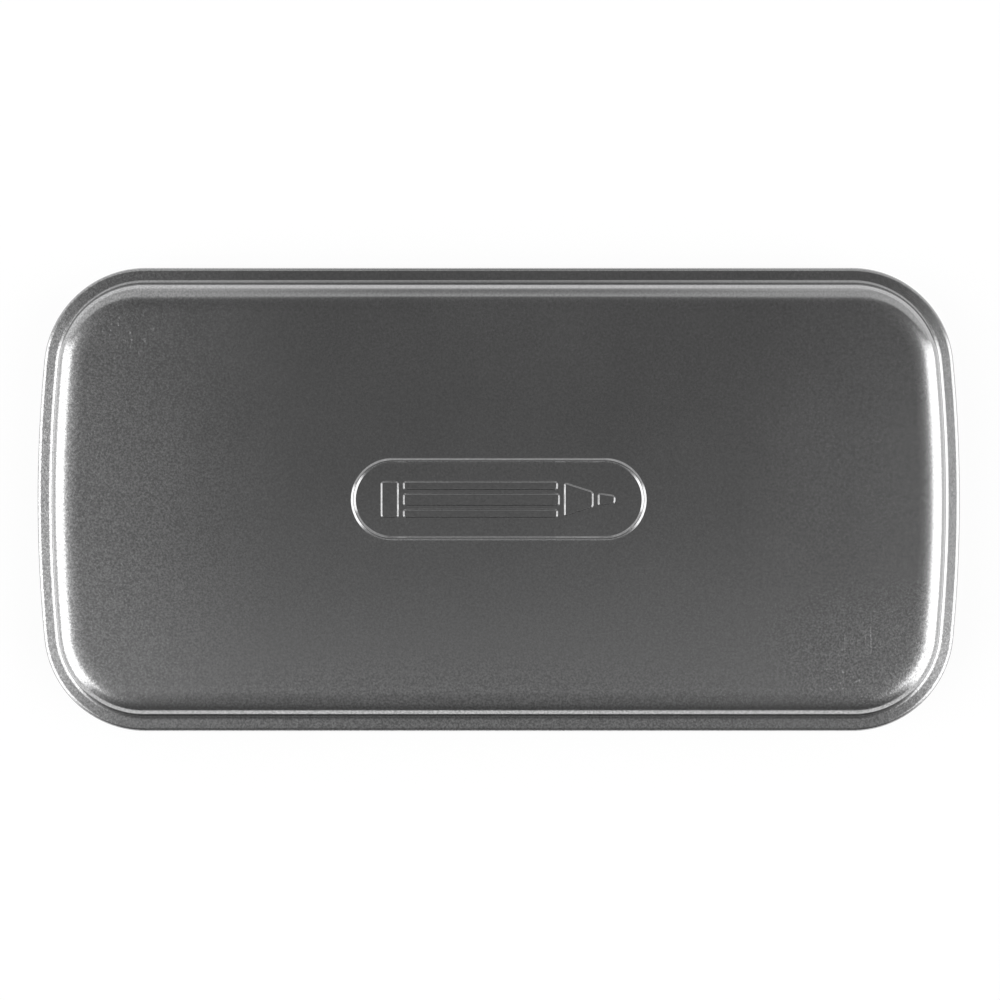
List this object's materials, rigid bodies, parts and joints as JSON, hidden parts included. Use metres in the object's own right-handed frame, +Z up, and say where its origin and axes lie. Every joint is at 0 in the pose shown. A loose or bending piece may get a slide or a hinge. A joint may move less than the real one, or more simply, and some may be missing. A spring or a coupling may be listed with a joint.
{
  "type": "colored pencil tin",
  "caption": "Hinged pencil tin of pressed metal with a raised lid panel, stepped rim, rolled inner edge, formed tray, foam sheet and coloured pencils.",
  "frame": {"origin": "middle of the flat underside of the base, under the centre of the whole tin", "axes": "+X along the pencils towards their tips, +Y from the front edge to the hinge edge, +Z up through the lid panel"},
  "size_m": [0.202, 0.1014, 0.0193],
  "materials": {
    "tinplate": "satin bare tinplate with a fine upright grain",
    "hinge_wire": "drawn wire",
    "tray_plastic": "formed sheet, slightly glossy",
    "foam": "soft open foam",
    "lacquer_golden_yellow": "lacquered cedar, bare where it is sharpened",
    "lacquer_orange": "lacquered cedar, bare where it is sharpened",
    "lacquer_scarlet": "lacquered cedar, bare where it is sharpened",
    "lacquer_crimson": "lacquered cedar, bare where it is sharpened",
    "lacquer_violet": "lacquered cedar, bare where it is sharpened",
    "lacquer_purple": "lacquered cedar, bare where it is sharpened",
    "lacquer_navy": "lacquered cedar, bare where it is sharpened",
    "lacquer_sky_blue": "lacquered cedar, bare where it is sharpened",
    "lacquer_forest_green": "lacquered cedar, bare where it is sharpened",
    "lacquer_leaf_green": "lacquered cedar, bare where it is sharpened",
    "lacquer_sienna": "lacquered cedar, bare where it is sharpened",
    "lacquer_black": "lacquered cedar, bare where it is sharpened",
    "core_golden_yellow": "waxy pigment",
    "core_orange": "waxy pigment",
    "core_scarlet": "waxy pigment",
    "core_crimson": "waxy pigment",
    "core_violet": "waxy pigment",
    "core_purple": "waxy pigment",
    "core_navy": "waxy pigment",
    "core_sky_blue": "waxy pigment",
    "core_forest_green": "waxy pigment",
    "core_leaf_green": "waxy pigment",
    "core_sienna": "waxy pigment",
    "core_black": "waxy pigment"
  },
  "bodies": {
    "base": {"base_shell": "tinplate", "hinge_wire_left": "hinge_wire", "hinge_wire_right": "hinge_wire", "pencil_tray": "tray_plastic"},
    "lid": {"lid_shell": "tinplate", "foam_sheet": "foam"},
    "pencil_01": {"pencil_01_casing": "lacquer_golden_yellow", "pencil_01_core": "core_golden_yellow"},
    "pencil_02": {"pencil_02_casing": "lacquer_orange", "pencil_02_core": "core_orange"},
    "pencil_03": {"pencil_03_casing": "lacquer_scarlet", "pencil_03_core": "core_scarlet"},
    "pencil_04": {"pencil_04_casing": "lacquer_crimson", "pencil_04_core": "core_crimson"},
    "pencil_05": {"pencil_05_casing": "lacquer_violet", "pencil_05_core": "core_violet"},
    "pencil_06": {"pencil_06_casing": "lacquer_purple", "pencil_06_core": "core_purple"},
    "pencil_07": {"pencil_07_casing": "lacquer_navy", "pencil_07_core": "core_navy"},
    "pencil_08": {"pencil_08_casing": "lacquer_sky_blue", "pencil_08_core": "core_sky_blue"},
    "pencil_09": {"pencil_09_casing": "lacquer_forest_green", "pencil_09_core": "core_forest_green"},
    "pencil_10": {"pencil_10_casing": "lacquer_leaf_green", "pencil_10_core": "core_leaf_green"},
    "pencil_11": {"pencil_11_casing": "lacquer_sienna", "pencil_11_core": "core_sienna"},
    "pencil_12": {"pencil_12_casing": "lacquer_black", "pencil_12_core": "core_black"}
  },
  "joints": [
    {"name": "lid_hinge", "type": "hinge", "parent": "base", "child": "lid", "pos_m": [0, 0.04975, 0.0059], "axis": [-1, 0, 0], "range_deg": [0, 115]},
    {"name": "pencil_01_slide", "type": "slide", "parent": "base", "child": "pencil_01", "axis": [1, 0, 0], "range_m": [-0.0012, 0.0012]},
    {"name": "pencil_02_slide", "type": "slide", "parent": "base", "child": "pencil_02", "axis": [1, 0, 0], "range_m": [-0.0012, 0.0012]},
    {"name": "pencil_03_slide", "type": "slide", "parent": "base", "child": "pencil_03", "axis": [1, 0, 0], "range_m": [-0.0012, 0.0012]},
    {"name": "pencil_04_slide", "type": "slide", "parent": "base", "child": "pencil_04", "axis": [1, 0, 0], "range_m": [-0.0012, 0.0012]},
    {"name": "pencil_05_slide", "type": "slide", "parent": "base", "child": "pencil_05", "axis": [1, 0, 0], "range_m": [-0.0012, 0.0012]},
    {"name": "pencil_06_slide", "type": "slide", "parent": "base", "child": "pencil_06", "axis": [1, 0, 0], "range_m": [-0.0012, 0.0012]},
    {"name": "pencil_07_slide", "type": "slide", "parent": "base", "child": "pencil_07", "axis": [1, 0, 0], "range_m": [-0.0012, 0.0012]},
    {"name": "pencil_08_slide", "type": "slide", "parent": "base", "child": "pencil_08", "axis": [1, 0, 0], "range_m": [-0.0012, 0.0012]},
    {"name": "pencil_09_slide", "type": "slide", "parent": "base", "child": "pencil_09", "axis": [1, 0, 0], "range_m": [-0.0012, 0.0012]},
    {"name": "pencil_10_slide", "type": "slide", "parent": "base", "child": "pencil_10", "axis": [1, 0, 0], "range_m": [-0.0012, 0.0012]},
    {"name": "pencil_11_slide", "type": "slide", "parent": "base", "child": "pencil_11", "axis": [1, 0, 0], "range_m": [-0.0012, 0.0012]},
    {"name": "pencil_12_slide", "type": "slide", "parent": "base", "child": "pencil_12", "axis": [1, 0, 0], "range_m": [-0.0012, 0.0012]}
  ]
}
